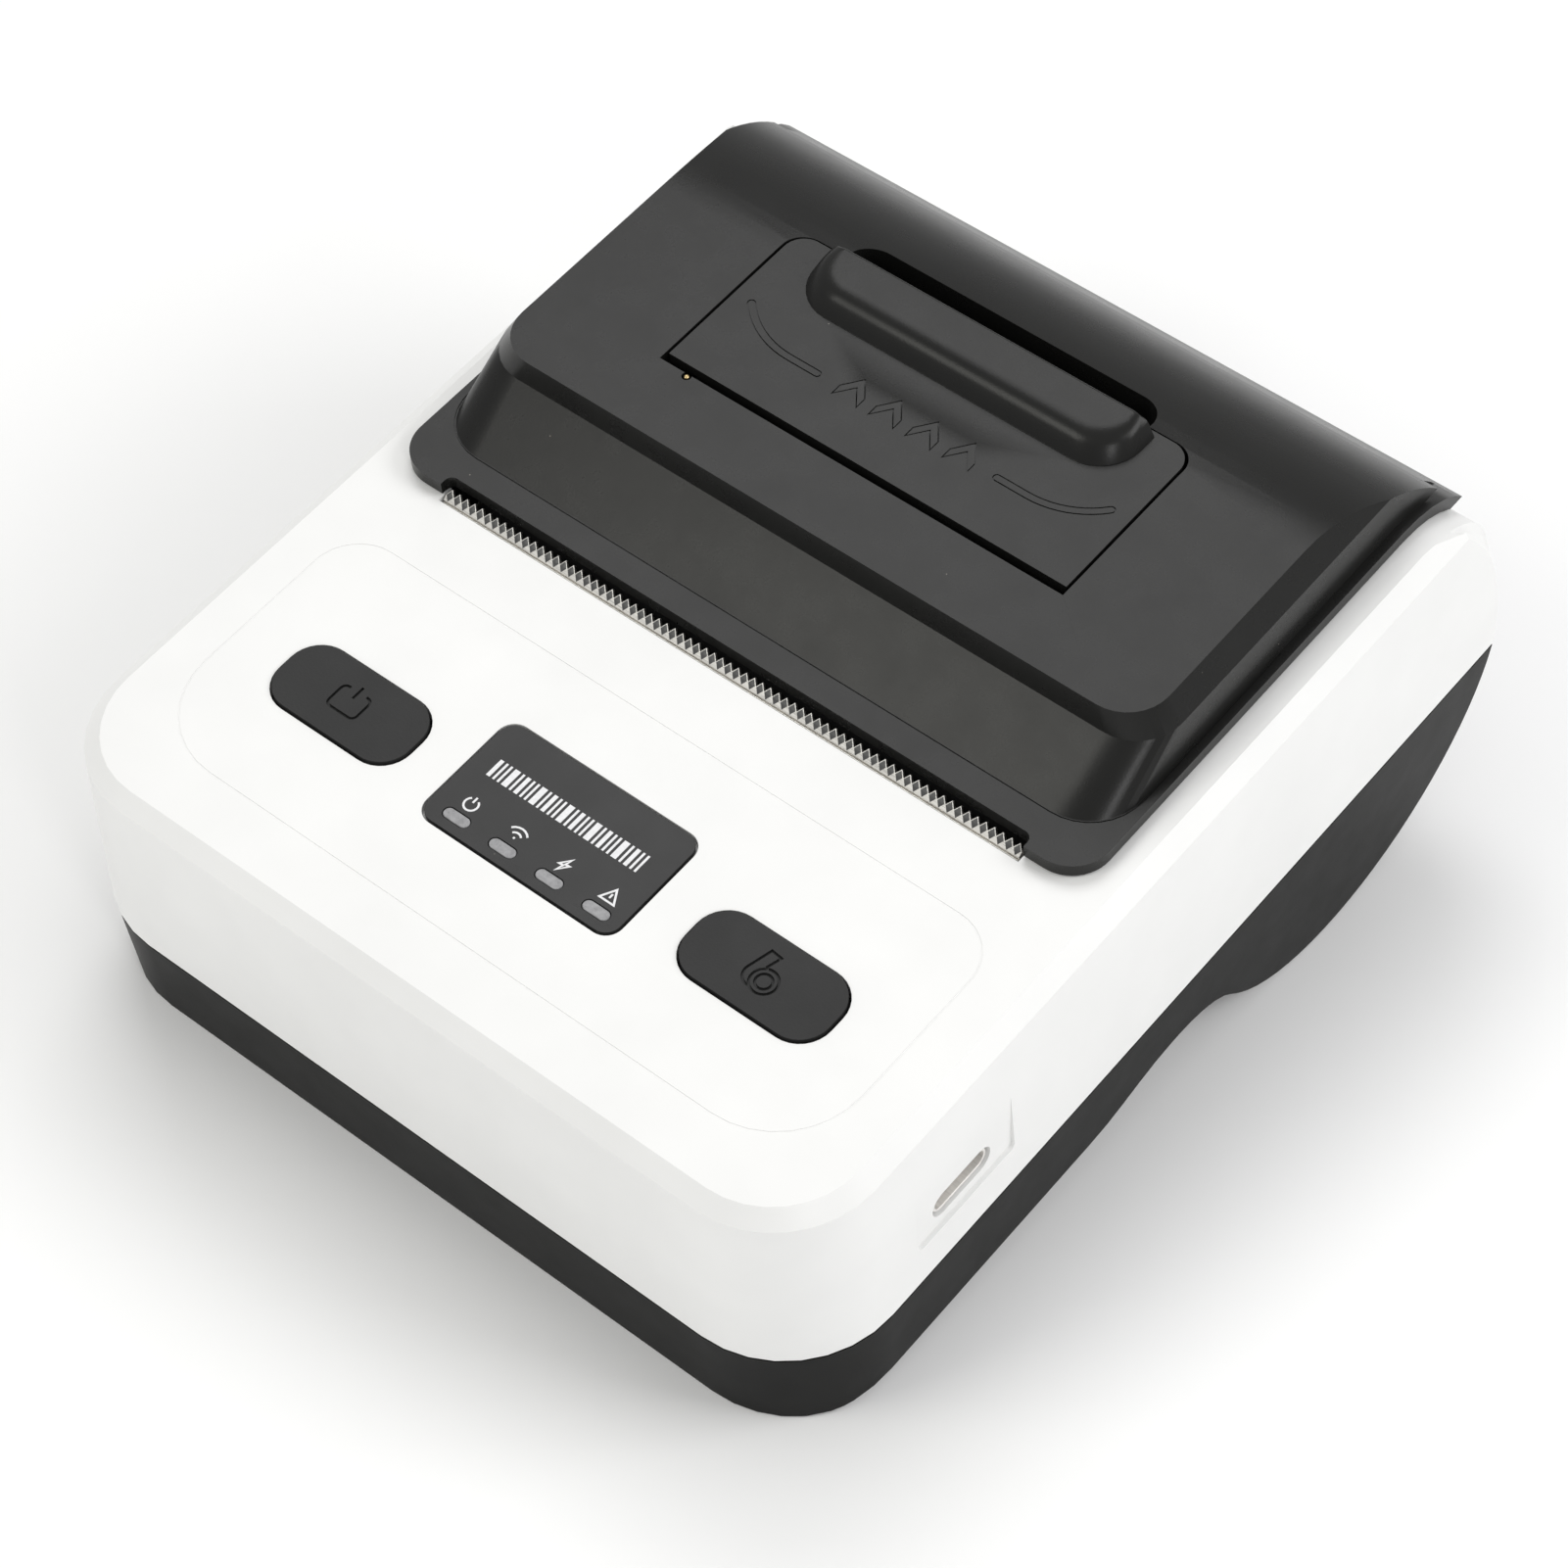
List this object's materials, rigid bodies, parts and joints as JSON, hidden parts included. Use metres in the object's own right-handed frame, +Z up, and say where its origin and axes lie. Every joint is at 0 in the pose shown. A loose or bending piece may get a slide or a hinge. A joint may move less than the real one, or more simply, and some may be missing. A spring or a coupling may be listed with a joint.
{
  "type": "thermal label printer",
  "caption": "Portable thermal label printer with a white deck, black base, clamshell paper cover with a lift latch, tear bar, keys, lights, platen drive and paper roll.",
  "frame": {"origin": "on the table, under the middle of the standing printer", "axes": "+Z up, +X to the right seen from the front, +Y towards the rear with the hinge; the printer stands nose-down on its two feet"},
  "size_m": [0.11, 0.1294, 0.065],
  "materials": {
    "white_shell": "fine satin",
    "black_shell": "satin",
    "black_cover": "satin",
    "key_rubber": "matt",
    "panel_film": "satin film",
    "light_pipe": "milky, translucent",
    "steel": "plain",
    "brass": "plain",
    "aluminium": "extruded",
    "platen_rubber": "ground",
    "gear_plastic": "moulded",
    "board": "solder mask",
    "black_plastic": "moulded",
    "ceramic": "glazed",
    "paper": "coated paper",
    "card": "wound card",
    "battery": "wrapped in film",
    "flex_film": "film"
  },
  "bodies": {
    "housing": {"upper_shell": "white_shell", "lower_shell": "black_shell", "battery_door": "black_shell", "indicator_panel": "panel_film", "light_pipe_1": "light_pipe", "light_pipe_2": "light_pipe", "light_pipe_3": "light_pipe", "light_pipe_4": "light_pipe", "tear_bar": "steel", "gear_post": "steel", "stepper_motor": "steel", "mechanism_frame": "steel", "usb_port": "steel", "cover_hinge_pin_left": "steel", "cover_hinge_pin_right": "steel", "latch_keeper_left": "steel", "latch_keeper_right": "steel", "head_spring_left": "steel", "head_spring_right": "steel", "battery_door_screw_left": "steel", "battery_door_screw_right": "steel", "case_screw_front_left": "steel", "case_screw_front_right": "steel", "case_screw_rear_left": "steel", "case_screw_rear_right": "steel", "heat_sink": "aluminium", "key_board": "board", "main_board": "board", "paper_bin": "black_plastic", "paper_sensor": "black_plastic", "power_switch": "black_plastic", "feed_switch": "black_plastic", "thermal_head": "ceramic", "indicator_led_1": "ceramic", "indicator_led_2": "ceramic", "indicator_led_3": "ceramic", "indicator_led_4": "ceramic", "battery_pack": "battery", "head_flex_cable": "flex_film"},
    "cover": {"paper_cover": "black_cover", "platen_bracket_left": "black_plastic", "platen_bracket_right": "black_plastic", "platen_bush_left": "gear_plastic", "platen_bush_right": "gear_plastic", "latch_spring": "steel"},
    "latch": {"cover_latch": "black_cover", "latch_shaft": "brass", "latch_hook_left": "steel", "latch_hook_right": "steel"},
    "platen": {"platen_roller": "platen_rubber", "platen_shaft": "steel", "platen_gear": "gear_plastic"},
    "reduction": {"reduction_gear": "gear_plastic"},
    "motor_rotor": {"motor_pinion": "brass"},
    "roll": {"paper_roll": "paper", "paper_core": "card"},
    "power_key": {"power_button": "key_rubber"},
    "feed_key": {"feed_button": "key_rubber"}
  },
  "joints": [
    {"name": "cover_hinge", "type": "hinge", "parent": "housing", "child": "cover", "pos_m": [0, 0.06163, 0.04229], "axis": [-1, 0, 0], "range_deg": [0, 95]},
    {"name": "latch_pivot", "type": "hinge", "parent": "cover", "child": "latch", "pos_m": [0, 0.01295, 0.05536], "axis": [1, 0, 0], "range_deg": [0, 15], "stiffness_Nm_per_rad": 0.05, "springref_deg": -20.05},
    {"name": "platen_spin", "type": "hinge", "parent": "cover", "child": "platen", "pos_m": [0, -0.00266, 0.03882], "axis": [1, 0, 0], "continuous": true},
    {"name": "reduction_spin", "type": "hinge", "parent": "housing", "child": "reduction", "pos_m": [-0.0466, -0.0109, 0.03161], "axis": [1, 0, 0], "continuous": true},
    {"name": "motor_spin", "type": "hinge", "parent": "housing", "child": "motor_rotor", "pos_m": [-0.0466, -0.02315, 0.03002], "axis": [1, 0, 0], "continuous": true},
    {"name": "roll_spin", "type": "hinge", "parent": "housing", "child": "roll", "pos_m": [0, 0.03442, 0.0297], "axis": [1, 0, 0], "continuous": true},
    {"name": "power_press", "type": "slide", "parent": "housing", "child": "power_key", "axis": [0, 0.1282, -0.9918], "range_m": [0, 0.0006], "stiffness_N_per_m": 800, "springref_m": -0.0005},
    {"name": "feed_press", "type": "slide", "parent": "housing", "child": "feed_key", "axis": [0, 0.1282, -0.9918], "range_m": [0, 0.0006], "stiffness_N_per_m": 800, "springref_m": -0.0005}
  ],
  "couplings": [
    {"joint": "reduction_spin", "follows": "platen_spin", "ratio": -1.8571},
    {"joint": "motor_spin", "follows": "platen_spin", "ratio": 7.0571},
    {"joint": "roll_spin", "follows": "platen_spin", "ratio": 0.20833}
  ]
}
